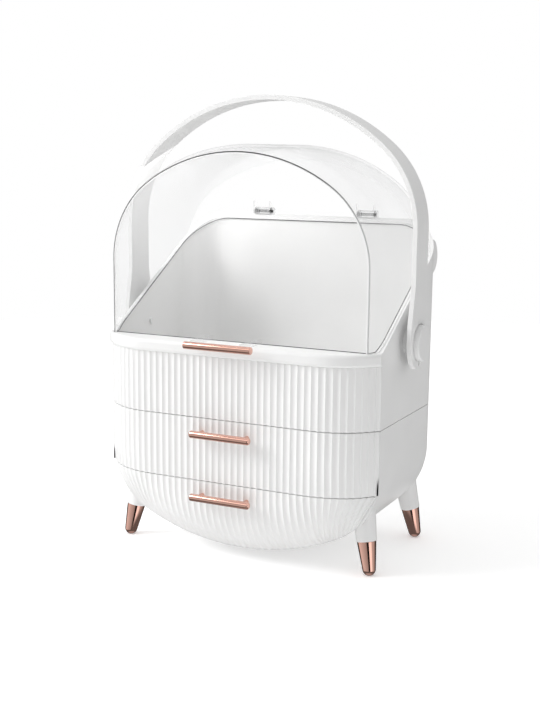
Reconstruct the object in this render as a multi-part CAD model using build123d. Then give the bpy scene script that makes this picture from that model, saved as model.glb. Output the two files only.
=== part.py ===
from build123d import *
import math
import os

# Dustproof makeup organizer: a ribbed cabinet with two drawers, a clear hood and a carrying strap.
#
# Millimetres. X runs to the user's right, Y from front to back, Z up. The model is drawn with
# y = 0 midway between the front and rear feet, and is moved at the end so that the origin is the
# middle of the floor area that the whole object covers.

# ---------------------------------------------------------------- cabinet shell
BODY_WIDTH = 280.0          # across the flat sides
BODY_DEPTH = 191.5          # rib crests to the back wall
FRONT_Y = -103.5            # crest of the ribs on the flat front
FASCIA_DEPTH = 29.5         # from the rib crests back to the rim of the drawer fronts
FRONT_ROUND = 66.0          # radius that rounds the front into the sides and the belly
BACK_ROUND = 36.0           # radius of the rear corners
BELLY_Z = 9.5               # lowest point of the belly above the floor
BELLY_R = 231.0             # radius of the belly
LOWER_CORNER_R = 70.0       # radius between the belly and the sides
LOWER_FRONT_HEIGHT = 69.2   # belly to the seam between the drawers
UPPER_FRONT_HEIGHT = 59.8   # that seam to the one above the upper drawer
BAND_HEIGHT = 58.0          # upper seam to the top of the ribs
SEAM_GAP = 0.6
RIM_GAP = 0.4               # between a drawer front and the housing's mouth
WALL = 3.0                  # lower housing wall
BIN_WALL = 4.0              # wall of the open upper bin
BIN_FLOOR = 3.5
SKIN = 4.2                  # thickness of the ribbed fronts, ribs included

# ---------------------------------------------------------------- ribs
RIB_PITCH = 6.6
RIB_DEPTH = 1.2
FLUTE_WIDTH = 4.6           # broad flutes with narrow ribs between them
FLUTE_LEAN = 0.0105         # inward lean of a low flute per mm that it stands beyond the flat front

# ---------------------------------------------------------------- rim and slanted side walls
LIP_HEIGHT = 11.5
LIP_PROUD = 2.6             # over the rib crests
LIP_SIDE_PROUD = 0.6        # over the flat sides
LIP_EDGE_R = 3.6
LEDGE_THICK = 3.0
LEDGE_DEPTH = 24.5          # rib crests to the ledge's inner edge
WALL_START_Y = -72.0        # where the slanted side walls begin
WALL_SLOPE = 0.60
SWEEP_RUN = 43.0            # last stretch before the back, where the slope curves up
BACK_RISE = 108.0           # ledge to the top of the back wall

# ---------------------------------------------------------------- hood
HOOD_WALL = 2.5
HOOD_INSET = 2.5            # inside the cabinet's sides and back
HOOD_RISE = 179.0           # ledge to the crown
HOOD_STRAIGHT = 71.0        # ledge to where the arch starts
HOOD_SHOULDER_R = 95.0
HOOD_ON_LEDGE = 5.0         # front panel in front of the ledge's inner edge
HOOD_FRONT_ROUND = 63.5
HOOD_FRONT_RUN = 28.0       # depth over which the roof swells behind the flat front panel
HOOD_BACK_ROUND = 34.0
HOOD_GAP = 0.3

# ---------------------------------------------------------------- hood hinges
HINGE_X = 58.0
HINGE_SPAN = 20.0           # across the two ears
HINGE_BEHIND = 4.6          # axis behind the back wall
HINGE_ABOVE = 2.6           # axis above the back wall
EAR_THICK = 1.9
EAR_R = 4.3
HINGE_PIN_R = 1.6
HINGE_FIT = 0.05
PIN_HEAD_R = 2.8
PIN_HEAD = 1.0
BARREL_R = 4.0
SIDE_PLAY = 0.3
BRACKET_PLATE = 2.4
BRACKET_HEIGHT = 21.0
BRACKET_DROP = 3.0          # bracket plate below the top of the back wall
BRACKET_SCREW_X = 4.2
ARM_FLANGE = 2.0
ARM_RIB = 1.5
ARM_RIB_RISE = 13.0
ARM_LIFT = 0.4              # over the back wall

# ---------------------------------------------------------------- pulls
PULL_R = 3.5
PULL_LENGTH = 62.0
PULL_STAND = 9.5            # rib crests to the bar's axis
PULL_POST_R = 2.2           # fits in a flute
PULL_POST_RIBS = 3.5        # rib pitches from the middle to each post, which stands in a flute
PULL_DROP = 13.7            # seam over a drawer down to its bar
PULL_SCREW_SHORT = 1.0      # screw tip before the bar's axis
LID_PULL_LENGTH = 68.0
LID_PULL_STAND = 10.9       # lip to the bar's axis
LID_PULL_DROP = 0.2         # ledge down to the bar's axis
LID_PULL_CHAMFER = 0.7
LID_POST_X = 25.0
LID_POST_WIDTH = 6.0
LID_POST_HEIGHT = 4.0
LID_POST_LIFT = 0.9         # over the ledge

# ---------------------------------------------------------------- carrying strap
STRAP_Y = -9.5
PIVOT_LIFT = 1.5            # pivot over the ledge
STRAP_STAND = 12.0          # cabinet side to the leg's outer face
STRAP_THICK = 4.4
STRAP_OVER_HOOD = 45.0      # hood crown to strap crown
STRAP_STRAIGHT = 103.0      # pivot to where the arch starts
STRAP_SHOULDER_R = 100.0
STRAP_WIDTH = 31.0
PADDLE_WIDTH = 46.0         # wider lower end of each leg
PADDLE_ABOVE = 16.5         # pivot to the top of the wide part
TAPER_ABOVE = 52.5          # pivot to where the leg has its full narrowness
PADDLE_BELOW = 24.5         # pivot to the lower end
PIVOT_R = 8.0
PIVOT_FIT = 0.06
CAP_R = 16.5
CAP_PROUD = 5.0
CAP_EDGE = 1.2
RECESS_GAP = 1.3            # round the cap
RECESS_DEPTH = 1.6
CAP_FLOOR_GAP = 0.2
NOTCH_R = 2.6
NOTCH_DROP = 19.0
SPACER_R = 11.5
SPACER_GAP = 0.3
STRAP_SCREW_IN_CAP = 10.0

# ---------------------------------------------------------------- legs
FOOT_INSET = 11.6           # foot inside the cabinet's side
FOOT_Y = 62.1
LEG_LEAN_X = 5.4            # over LEG_LEAN_RUN of height
LEG_LEAN_Y = 4.1
LEG_LEAN_RUN = 31.0
FOOT_R = 6.2
FOOT_FLAT = 0.4             # height cut off the round end
TIP_TOP_Z = 31.0
TIP_TOP_R = 9.0
SOCKET_R = 9.4
SOCKET_TOP_R = 11.5
SOCKET_LENGTH = 38.0
STUD_R = 2.5
STUD_FIT = 0.05
STUD_IN_TIP = 12.0
STUD_IN_WALL = 2.0

# ---------------------------------------------------------------- drawers and what carries them
TRAY_WALL = 2.0
TRAY_FRONT = 2.2
TRAY_BACK_Y = 66.0
TRAY_FLOOR_GAP = 1.3        # shelf to the upper tray
TRAY_FRONT_SIDE = 2.0       # upper tray's front wall beyond its sides
TRAY_FRONT_DROP = 0.8       # and below its floor
TRAY_HEADROOM = 1.6         # over a tray's back wall
STOP_CLEARANCE = 0.8        # over a tray's side walls
RUNNER_DEPTH = 5.0
RUNNER_HEIGHT = 4.0
RUNNER_UP = 24.1            # shelf to the upper runners
RUNNER_FRONT = 4.0          # behind the rim
RUNNER_BACK_Y = 70.0
RUNNER_CLEARANCE = 0.5      # tray side to runner
RIDER_REACH = 4.0
RIDER_HEIGHT = 2.0
RIDER_BACK = 14.0           # before the tray's back
RUNNING_GAP = 0.3
SHELF_THICK = 2.4
SHELF_SETBACK = 1.0         # behind the rim
STRIP_THICK = 1.5
STRIP_SEAT = 0.05           # between a strip and the belly's inner face
STRIP_WIDTH = 14.0
STRIP_X = 39.0
DRAWER_TRAVEL = 100.0
STOP_GAP = 0.5
STOP_WIDTH = 12.0
STOP_DEPTH = 4.0
STOP_X = 60.0
STOP_DROP = 4.4
FRONT_CAP_WALL = 2.5        # top and bottom walls inside a drawer front
LOWER_BOSS_DROP = 20.0      # seam down to the lower drawer's bosses

# ---------------------------------------------------------------- fasteners
SCREW_R = 1.5
SCREW_FIT = 0.05
SCREW_HEAD_R = 3.0
SCREW_HEAD = 1.8
SCREW_TIP_GAP = 0.4
BOSS_R = 4.5
BOSS_X = 84.0
BOSS_SCREW = 10.0           # screw in a boss
POST_R = 5.0
POST_X_INSET = 22.0
POST_Y_INSET = 11.0
POST_LENGTH = 40.0
POST_SCREW = 12.0           # screw in a rear post

# ---------------------------------------------------------------- rear lugs
LUG_X_INSET = 11.5
LUG_THICK = 4.0
LUG_R = 17.0
LUG_BEFORE_BACK = 6.0       # centre in front of the back wall
LUG_DROP = 36.0             # centre below the top of the back wall
LUG_SLOT_HALF = 5.5
LUG_SLOT_R = 2.8
LUG_SLOT_BEFORE_BACK = 4.0  # its middle in front of the back wall

# ---------------------------------------------------------------- worked out from the above
FAR = 400.0                 # larger than the object
NEAR = 0.1                  # how close a point has to be to be taken for one on a plane
TRIM = 0.006                # kept off a fillet's largest radius
HALF = BODY_WIDTH / 2
BACK_Y = FRONT_Y + BODY_DEPTH
RIM_Y = FRONT_Y + FASCIA_DEPTH
SEAM_LOWER_Z = BELLY_Z + LOWER_FRONT_HEIGHT
SEAM_UPPER_Z = SEAM_LOWER_Z + UPPER_FRONT_HEIGHT
RIB_TOP_Z = SEAM_UPPER_Z + BAND_HEIGHT
LEDGE_Z = RIB_TOP_Z + LIP_HEIGHT
LEDGE_BACK_Y = FRONT_Y + LEDGE_DEPTH
BACK_TOP_Z = LEDGE_Z + BACK_RISE
SWEEP_START_Y = BACK_Y - SWEEP_RUN
BIN_UNDER_Z = SEAM_UPPER_Z + SEAM_GAP / 2
BIN_FLOOR_Z = BIN_UNDER_Z + BIN_FLOOR
SHELF_UNDER_Z = SEAM_LOWER_Z - SHELF_THICK / 2
SHELF_TOP_Z = SEAM_LOWER_Z + SHELF_THICK / 2
BELLY_CENTRE_Z = BELLY_Z + BELLY_R
CORNER_X = HALF - LOWER_CORNER_R
CORNER_Z = BELLY_CENTRE_Z - math.sqrt((BELLY_R - LOWER_CORNER_R) ** 2 - CORNER_X ** 2)
FRONT_GROWTH = FRONT_ROUND - math.sqrt(FRONT_ROUND ** 2 - (FRONT_ROUND - FASCIA_DEPTH) ** 2)
FLAT_HALF = HALF + FRONT_GROWTH - FRONT_ROUND
ARC_CENTRE_Y = FRONT_Y + FRONT_ROUND
ARC_TURN = math.acos((FRONT_ROUND - FASCIA_DEPTH) / FRONT_ROUND)
RIBBON_HALF = FLAT_HALF + FRONT_ROUND * ARC_TURN
BAR_Y = FRONT_Y - PULL_STAND
PULL_POST_X = PULL_POST_RIBS * RIB_PITCH
LID_PULL_Y = FRONT_Y - LIP_PROUD - LID_PULL_STAND
LID_PULL_Z = LEDGE_Z - LID_PULL_DROP
HOOD_HALF = HALF - HOOD_INSET
HOOD_BACK_Y = BACK_Y - HOOD_INSET
HOOD_TOP_Z = LEDGE_Z + HOOD_RISE
HOOD_FRONT_Y = LEDGE_BACK_Y - HOOD_ON_LEDGE
HINGE_Y = BACK_Y + HINGE_BEHIND
HINGE_Z = BACK_TOP_Z + HINGE_ABOVE
BARREL_HALF = HINGE_SPAN / 2 - EAR_THICK - SIDE_PLAY
PIVOT_Z = LEDGE_Z + PIVOT_LIFT
STRAP_HALF = HALF + STRAP_STAND
STRAP_INNER = STRAP_HALF - STRAP_THICK
STRAP_TOP_Z = HOOD_TOP_Z + STRAP_OVER_HOOD
CAP_OUTER_X = STRAP_HALF + CAP_PROUD
FOOT_X = HALF - FOOT_INSET
RUNNER_Z = SHELF_TOP_Z + RUNNER_UP
TRAY_HALF = HALF - WALL - RUNNER_DEPTH - RUNNER_CLEARANCE
TRAY_FLOOR_Z = SHELF_TOP_Z + TRAY_FLOOR_GAP
LOW_TRAY_INSET = WALL + STRIP_THICK + RUNNING_GAP
STOP_BACK_Y = TRAY_BACK_Y - TRAY_WALL - DRAWER_TRAVEL - STOP_GAP
POST_X = HALF - POST_X_INSET
POST_Y = BACK_Y - POST_Y_INSET
LUG_X = HALF - LUG_X_INSET
LUG_Y = BACK_Y - LUG_BEFORE_BACK
LUG_Z = BACK_TOP_Z - LUG_DROP
FRONT_MOST_Y = LID_PULL_Y - PULL_R
REAR_MOST_Y = LUG_Y + LUG_R
ORIGIN_Y = (REAR_MOST_Y + FRONT_MOST_Y) / 2


# ---------------------------------------------------------------- helpers
def box(x0, x1, y0, y1, z0, z1):
    """A box between two corners."""
    centre = ((x0 + x1) / 2, (y0 + y1) / 2, (z0 + z1) / 2)
    return Pos(*centre) * Box(x1 - x0, y1 - y0, z1 - z0)


def slab(z0, z1):
    """Everything between two heights."""
    return box(-FAR, FAR, -FAR, FAR, z0, z1)


def between_y(y0, y1):
    """Everything between two depths."""
    return box(-FAR, FAR, y0, y1, -FAR, 2 * FAR)


def rod(start, end, radius, end_radius=None):
    """A round rod, or a cone, from one point to another."""
    start = Vector(*start)
    run = Vector(*end) - start
    plane = Plane(origin=start, z_dir=run)
    base = (Align.CENTER, Align.CENTER, Align.MIN)
    if end_radius is None:
        return plane * Cylinder(radius, run.length, align=base)
    return plane * Cone(radius, end_radius, run.length, align=base)


def both_sides(piece):
    """A piece and its mirror image in the plane x = 0."""
    return [piece, piece.mirror(Plane.YZ)]


def screw(seat, direction, length):
    """A pan-head screw whose head sits on seat, with its shank along direction."""
    seat = Vector(*seat)
    way = Vector(*direction)
    head = rod(seat - way * SCREW_HEAD, seat, SCREW_HEAD_R)
    return head + rod(seat, seat + way * length, SCREW_R)


def screw_hole(seat, direction, length):
    """The hole for that screw's shank, a little deeper than the shank is long."""
    seat = Vector(*seat)
    way = Vector(*direction)
    return rod(seat - way, seat + way * (length + SCREW_TIP_GAP), SCREW_R + SCREW_FIT)


def group(pieces):
    """Several separate solids as one node."""
    return Compound([solid for piece in pieces for solid in piece.solids()])


# ---------------------------------------------------------------- cabinet forms
def u_face(inset, top_z):
    """The cabinet's front-view outline, moved inwards by inset, as a face in the XZ plane."""
    half = HALF - inset
    corner_r = LOWER_CORNER_R - inset
    centre = Vector(CORNER_X, CORNER_Z)
    toward = Vector(CORNER_X, CORNER_Z - BELLY_CENTRE_Z).normalized()
    meet = centre + toward * corner_r
    turn = math.atan2(toward.Y, toward.X) / 2
    middle = centre + Vector(math.cos(turn), math.sin(turn)) * corner_r
    lowest = BELLY_Z + inset
    edges = [
        Line((half, top_z), (half, CORNER_Z)),
        ThreePointArc((half, CORNER_Z), (middle.X, middle.Y), (meet.X, meet.Y)),
        ThreePointArc((meet.X, meet.Y), (0, lowest), (-meet.X, meet.Y)),
        ThreePointArc((-meet.X, meet.Y), (-middle.X, middle.Y), (-half, CORNER_Z)),
        Line((-half, CORNER_Z), (-half, top_z)),
        Line((-half, top_z), (half, top_z)),
    ]
    return Plane.XZ * make_face(edges)


def u_block(inset, y0, y1, top_z):
    """The front-view outline run from y0 to y1."""
    face = Pos(0, y0, 0) * u_face(inset, top_z)
    return extrude(face, amount=y1 - y0, dir=(0, 1, 0))


def end_edges(solid, y, top_z):
    """The curved and upright edges of an end face, without its top edge."""
    ends = solid.edges().filter_by_position(Axis.Y, y - NEAR, y + NEAR)
    return [edge for edge in ends if edge.center().Z < top_z - NEAR]


def cabinet_core(inset, front_y, top_z):
    """The cabinet behind the rim, with its rear corners rounded."""
    block = u_block(inset, front_y, BACK_Y - inset, top_z)
    return fillet(end_edges(block, BACK_Y - inset, top_z), BACK_ROUND - inset)


def pillow(inset, top_z):
    """The swollen front: the outline rounded forward, cut off at the rim."""
    block = u_block(inset - FRONT_GROWTH, FRONT_Y + inset, ARC_CENTRE_Y, top_z)
    block = fillet(end_edges(block, FRONT_Y + inset, top_z), FRONT_ROUND - inset - TRIM)
    return block & between_y(-FAR, RIM_Y)


def flute_plan(along):
    """Plan view of one flute, centred at a distance along the front measured round its corners,
    and how far it leans inwards below the lower seam for each mm of height."""
    side = math.copysign(1, along)
    half = FLUTE_WIDTH / 2
    over = RIB_DEPTH + LIP_PROUD
    if abs(along) <= FLAT_HALF:
        corners = [(along - half, FRONT_Y - over), (along + half, FRONT_Y - over),
                   (along + half, RIM_Y + over), (along - half, RIM_Y + over)]
        return make_face(Polyline(*corners, close=True).edges()), 0
    angle = (abs(along) - FLAT_HALF) / FRONT_ROUND
    spread = half / FRONT_ROUND
    near, reach = FRONT_ROUND / 2, FRONT_ROUND + over
    turns = [(near, angle - spread), (reach, angle - spread),
             (reach, angle + spread), (near, angle + spread)]
    corners = [(side * (FLAT_HALF + radius * math.sin(turn)), ARC_CENTRE_Y - radius * math.cos(turn))
               for radius, turn in turns]
    lean = FLUTE_LEAN * FRONT_ROUND * math.sin(angle)
    return make_face(Polyline(*corners, close=True).edges()), side * lean


def flutes(z0, z1):
    """The prisms that cut the flutes between two heights."""
    count = 2 * int(RIBBON_HALF / RIB_PITCH)
    prisms = []
    for index in range(count):
        along = (index - (count - 1) / 2) * RIB_PITCH
        plan, lean = flute_plan(along)
        if z1 > SEAM_LOWER_Z:
            lean = 0
        way = Vector(-lean, 0, -1)
        start = Pos(0, 0, z1 + SEAM_GAP) * plan
        drop = z1 - z0 + 2 * SEAM_GAP
        prisms.append(extrude(start, amount=drop * way.length, dir=way))
    return prisms


def ribbed_block(z0, z1):
    """The swollen front between two heights, with its flutes cut."""
    top_z = LEDGE_Z + LIP_HEIGHT
    base = pillow(RIB_DEPTH, top_z)
    cutters = [flute - base for flute in flutes(z0, z1)]
    return (pillow(0, top_z) & slab(z0, z1)) - cutters


def above_walls(lift):
    """Everything above the side walls' top edge, raised by lift."""
    start_z = LEDGE_Z + WALL_SLOPE * (SWEEP_START_Y - WALL_START_Y)
    rise = BACK_TOP_Z - start_z
    chord = math.atan2(rise, SWEEP_RUN)
    bend = chord - math.atan(WALL_SLOPE)
    sag = math.hypot(rise, SWEEP_RUN) / 2 * math.tan(bend / 2)
    middle_y = SWEEP_START_Y + SWEEP_RUN / 2 + sag * math.sin(chord)
    middle_z = start_z + rise / 2 - sag * math.cos(chord)
    start, end = (SWEEP_START_Y, start_z), (BACK_Y, BACK_TOP_Z)
    edges = [
        Line((-FAR, LEDGE_Z), (WALL_START_Y, LEDGE_Z)),
        Line((WALL_START_Y, LEDGE_Z), start),
        ThreePointArc(start, (middle_y, middle_z), end),
        Line(end, (FAR, BACK_TOP_Z)),
        Line((FAR, BACK_TOP_Z), (FAR, 2 * FAR)),
        Line((FAR, 2 * FAR), (-FAR, 2 * FAR)),
        Line((-FAR, 2 * FAR), (-FAR, LEDGE_Z)),
    ]
    face = Pos(-FAR, 0, lift) * (Plane.YZ * make_face(edges))
    return extrude(face, amount=2 * FAR, dir=(1, 0, 0))


def arch_block(half, straight_z, shoulder_r, top_z, y0, y1):
    """A round-shouldered arch standing from z = 0, run from y0 to y1."""
    reach = half - shoulder_r
    rise = top_z - straight_z
    crown_r = (reach ** 2 + rise ** 2 - shoulder_r ** 2) / (2 * (rise - shoulder_r))
    crown_z = top_z - crown_r
    toward = Vector(reach, straight_z - crown_z).normalized()
    meet = Vector(reach, straight_z) + toward * shoulder_r
    turn = math.atan2(toward.Y, toward.X) / 2
    middle = Vector(reach, straight_z) + Vector(math.cos(turn), math.sin(turn)) * shoulder_r
    edges = [
        Line((half, 0), (half, straight_z)),
        ThreePointArc((half, straight_z), (middle.X, middle.Y), (meet.X, meet.Y)),
        ThreePointArc((meet.X, meet.Y), (0, top_z), (-meet.X, meet.Y)),
        ThreePointArc((-meet.X, meet.Y), (-middle.X, middle.Y), (-half, straight_z)),
        Line((-half, straight_z), (-half, 0)),
        Line((-half, 0), (half, 0)),
    ]
    face = Pos(0, y0, 0) * (Plane.XZ * make_face(edges))
    return extrude(face, amount=y1 - y0, dir=(0, 1, 0))


# ---------------------------------------------------------------- where the screws sit
def post_seats(z):
    """Tops of the two rear posts that hold the bin on the lower housing."""
    return [(side * POST_X, POST_Y, z) for side in (-1, 1)]


def bracket_seats():
    """Screw seats on the hinge brackets."""
    z = BACK_TOP_Z - BRACKET_DROP - BRACKET_HEIGHT / 2
    return [(side * HINGE_X + step, BACK_Y + BRACKET_PLATE, z)
            for side in (-1, 1) for step in (-BRACKET_SCREW_X, BRACKET_SCREW_X)]


def boss_seats(boss_z, y):
    """Screw seats where a drawer front is fastened to its tray."""
    return [(side * BOSS_X, y, boss_z) for side in (-1, 1)]


def pull_seats(bar_z):
    """Screw seats inside a drawer front, behind its pull."""
    return [(side * PULL_POST_X, FRONT_Y + SKIN, bar_z) for side in (-1, 1)]


BRACKET_SCREW = BRACKET_PLATE + BIN_WALL - 2 * SCREW_TIP_GAP
PULL_SCREW = SKIN + PULL_STAND - PULL_SCREW_SHORT
TRAY_SCREW = TRAY_FRONT + BOSS_SCREW
CASE_SCREW = BIN_FLOOR + SEAM_GAP + POST_SCREW
PIVOT_SCREW = BIN_WALL + STRAP_SCREW_IN_CAP


# ---------------------------------------------------------------- cabinet
def make_lower_housing():
    """The U-shaped tub that holds both drawers, open at the front and top."""
    top = SEAM_UPPER_Z - SEAM_GAP / 2
    outer = cabinet_core(0, RIM_Y + RIM_GAP, top)
    tub = outer - cabinet_core(WALL, RIM_Y - RIM_GAP, top + WALL)
    for x, y, z in post_seats(top):
        tub += rod((x, y, z - POST_LENGTH), (x, y, z), POST_R) & outer
    for seat in post_seats(BIN_FLOOR_Z):
        tub -= screw_hole(seat, (0, 0, -1), CASE_SCREW)
    skin = cabinet_core(STUD_IN_WALL + STUD_FIT, -FAR, top)
    for foot in feet():
        tub -= stud_rod(foot, STUD_R + STUD_FIT) - skin
    return tub


def make_upper_bin():
    """The open bin: floor, back, slanted sides and the ribbed band across the front."""
    top = BACK_TOP_Z + BIN_WALL
    outer = cabinet_core(0, RIM_Y, top) & slab(BIN_UNDER_Z, top)
    hollow = cabinet_core(BIN_WALL, RIM_Y - RIM_GAP, top + BIN_WALL) + pillow(SKIN, top + BIN_WALL)
    shell = outer + ribbed_block(BIN_UNDER_Z, RIB_TOP_Z) - (hollow & slab(BIN_FLOOR_Z, 2 * FAR))
    shell -= above_walls(0)
    shell -= box(-FAR, FAR, -FAR, WALL_START_Y, RIB_TOP_Z, FAR)
    for seat in post_seats(BIN_FLOOR_Z):
        shell -= screw_hole(seat, (0, 0, -1), CASE_SCREW)
    for side in (-1, 1):
        seat = (side * (HALF - BIN_WALL), STRAP_Y, PIVOT_Z)
        shell -= screw_hole(seat, (side, 0, 0), PIVOT_SCREW)
    for seat in bracket_seats():
        shell -= screw_hole(seat, (0, -1, 0), BRACKET_SCREW)
    return shell


def make_rim_trim():
    """The rounded lip along the front, with the ledge behind it that carries the hood."""
    top_z = LEDGE_Z + LIP_HEIGHT
    lip = pillow(-LIP_PROUD, top_z) & slab(RIB_TOP_Z, LEDGE_Z)
    outline = [edge for edge in lip.edges()
               if edge.center().Y < RIM_Y - NEAR and abs(edge.tangent_at(0.5).Z) < NEAR]
    lip = fillet(outline, LIP_EDGE_R)
    side = HALF + LIP_SIDE_PROUD
    lip &= box(-side, side, -FAR, RIM_Y, RIB_TOP_Z, LEDGE_Z)
    lip += box(-HALF, HALF, RIM_Y, WALL_START_Y - RIM_GAP, RIB_TOP_Z, LEDGE_Z)
    lip -= pillow(SKIN, top_z) & slab(0, LEDGE_Z - LEDGE_THICK)
    inner = HALF - BIN_WALL
    return lip - box(-inner, inner, LEDGE_BACK_Y, FAR, 0, top_z)


def make_divider_shelf():
    """The shelf between the two drawers."""
    return cabinet_core(WALL, RIM_Y + SHELF_SETBACK, SEAM_UPPER_Z) & slab(SHELF_UNDER_Z, SHELF_TOP_Z)


def make_upper_runners():
    """The rails on the side walls that carry the upper drawer."""
    inner = HALF - WALL
    rail = box(inner - RUNNER_DEPTH, inner, RIM_Y + RUNNER_FRONT, RUNNER_BACK_Y,
               RUNNER_Z, RUNNER_Z + RUNNER_HEIGHT)
    rail &= cabinet_core(WALL, RIM_Y, SEAM_UPPER_Z)
    return group(both_sides(rail))


def make_lower_runners():
    """The low strips on the belly that the lower drawer slides on."""
    front, back = RIM_Y + RUNNER_FRONT, TRAY_BACK_Y - RIDER_BACK
    strip = u_block(WALL + STRIP_SEAT, front, back, SEAM_UPPER_Z)
    strip -= u_block(WALL + STRIP_THICK, front - WALL, back + WALL, SEAM_UPPER_Z)
    strip &= box(STRIP_X - STRIP_WIDTH / 2, STRIP_X + STRIP_WIDTH / 2, -FAR, FAR, 0, CORNER_Z)
    return group(both_sides(strip))


def make_drawer_stops():
    """Blocks that catch a drawer's back wall when it is pulled out."""
    stops = []
    for ceiling in (BIN_UNDER_Z, SHELF_UNDER_Z):
        stop = box(STOP_X - STOP_WIDTH / 2, STOP_X + STOP_WIDTH / 2,
                   STOP_BACK_Y - STOP_DEPTH, STOP_BACK_Y, ceiling - STOP_DROP, ceiling)
        stops += both_sides(stop)
    return group(stops)


def make_case_screws():
    """The screws through the bin floor into the rear posts."""
    return group([screw(seat, (0, 0, -1), CASE_SCREW) for seat in post_seats(BIN_FLOOR_Z)])


def make_rear_lugs():
    """Rounded slotted plates on the cabinet's rear corners."""
    lug = rod((LUG_X - LUG_THICK / 2, LUG_Y, LUG_Z), (LUG_X + LUG_THICK / 2, LUG_Y, LUG_Z), LUG_R)
    slot_y = BACK_Y - LUG_SLOT_BEFORE_BACK
    for step in (-LUG_SLOT_HALF, LUG_SLOT_HALF):
        lug -= rod((LUG_X - LUG_THICK, slot_y, LUG_Z + step), (LUG_X + LUG_THICK, slot_y, LUG_Z + step),
                   LUG_SLOT_R)
    lug -= box(LUG_X - LUG_THICK, LUG_X + LUG_THICK, slot_y - LUG_SLOT_R, slot_y + LUG_SLOT_R,
               LUG_Z - LUG_SLOT_HALF, LUG_Z + LUG_SLOT_HALF)
    lug -= cabinet_core(0, RIM_Y, BACK_TOP_Z)
    return group(both_sides(lug))


# ---------------------------------------------------------------- legs
def feet():
    """Centres of the four round feet, on the floor."""
    return [(side_x * FOOT_X, side_y * FOOT_Y) for side_y in (-1, 1) for side_x in (-1, 1)]


def leg_axis(foot):
    """The centre of a foot's round end, the joint of tip and socket, and the way up the leg."""
    x, y = foot
    low = Vector(x, y, FOOT_R - FOOT_FLAT)
    rise = TIP_TOP_Z - low.Z
    lean = Vector(-math.copysign(LEG_LEAN_X, x), -math.copysign(LEG_LEAN_Y, y), LEG_LEAN_RUN)
    return low, low + lean * (rise / LEG_LEAN_RUN), lean.normalized()


def stud_rod(foot, radius):
    """A rod up the middle of a leg, from inside its tip to beyond its socket."""
    joint, up = leg_axis(foot)[1:]
    return rod(joint - up * STUD_IN_TIP, joint + up * SOCKET_LENGTH, radius)


def make_leg_tip(foot):
    """The metallic lower part of a leg, round at the foot and flat underneath."""
    low, joint, up = leg_axis(foot)
    tip = rod(low, joint, FOOT_R, TIP_TOP_R) + Pos(low) * Sphere(FOOT_R)
    hole = rod(joint - up * (STUD_IN_TIP + SCREW_TIP_GAP), joint + up, STUD_R + STUD_FIT)
    return tip - slab(-FAR, 0) - hole


def make_leg_socket(foot):
    """The white upper part of a leg, shaped to the housing above it."""
    joint, up = leg_axis(foot)[1:]
    socket = rod(joint, joint + up * SOCKET_LENGTH, SOCKET_R, SOCKET_TOP_R)
    socket -= stud_rod(foot, STUD_R + STUD_FIT)
    socket -= cabinet_core(0, RIM_Y, LEDGE_Z)
    return socket.solids().sort_by(Axis.Z)[0]


def make_leg_studs():
    """The threaded studs that hold each tip and socket on the housing."""
    skin = cabinet_core(STUD_IN_WALL - STUD_FIT, -FAR, LEDGE_Z)
    return group([stud_rod(foot, STUD_R) - skin for foot in feet()])


# ---------------------------------------------------------------- drawers
def make_drawer_front(z0, z1, bar_z, boss_z):
    """A ribbed drawer front, hollow behind, with two screw bosses."""
    top_z = LEDGE_Z + LIP_HEIGHT
    low = z0 + FRONT_CAP_WALL if z0 > SEAM_LOWER_Z else 0
    front = ribbed_block(z0, z1) - (pillow(SKIN, top_z) & slab(low, z1 - FRONT_CAP_WALL))
    inside = pillow(SKIN / 2, top_z)
    for seat in boss_seats(boss_z, RIM_Y):
        tip = (seat[0], FRONT_Y, boss_z)
        front += rod(tip, seat, BOSS_R) & inside
    for seat in boss_seats(boss_z, RIM_Y + TRAY_FRONT):
        front -= screw_hole(seat, (0, -1, 0), TRAY_SCREW)
    for x, y, z in pull_seats(bar_z):
        front -= screw_hole((x, y, z), (0, -1, 0), PULL_SCREW)
        front -= rod((x, y, z), (x, y + SCREW_HEAD, z), SCREW_HEAD_R + SCREW_FIT)
    return front


def hollow_tray(outer, inner, ceiling):
    """A tray with low sides and a higher front and back wall, under a ceiling."""
    inside = between_y(RIM_Y + TRAY_FRONT, TRAY_BACK_Y - TRAY_WALL)
    side_top = ceiling - STOP_DROP - STOP_CLEARANCE
    tray = (outer & slab(-FAR, ceiling - TRAY_HEADROOM)) - (inner & inside)
    return tray - (inside & slab(side_top, FAR))


def make_upper_tray():
    """The straight-sided tray behind the upper front, with riders that run on the rails."""
    inner = TRAY_HALF - TRAY_WALL
    outer_box = box(-TRAY_HALF, TRAY_HALF, RIM_Y, TRAY_BACK_Y, TRAY_FLOOR_Z, SEAM_UPPER_Z)
    inner_box = box(-inner, inner, RIM_Y, TRAY_BACK_Y, TRAY_FLOOR_Z + TRAY_WALL, SEAM_UPPER_Z)
    tray = hollow_tray(outer_box, inner_box, BIN_UNDER_Z)
    wide = TRAY_HALF + TRAY_FRONT_SIDE
    tray += box(-wide, wide, RIM_Y, RIM_Y + TRAY_FRONT, TRAY_FLOOR_Z - TRAY_FRONT_DROP,
                BIN_UNDER_Z - TRAY_HEADROOM)
    rider_z = RUNNER_Z + RUNNER_HEIGHT + RUNNING_GAP
    rider = box(TRAY_HALF, TRAY_HALF + RIDER_REACH, RIM_Y + TRAY_FRONT, TRAY_BACK_Y - RIDER_BACK,
                rider_z, rider_z + RIDER_HEIGHT)
    tray += both_sides(rider)
    for seat in boss_seats(UPPER_BOSS_Z, RIM_Y + TRAY_FRONT):
        tray -= screw_hole(seat, (0, -1, 0), TRAY_SCREW)
    return tray


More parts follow.
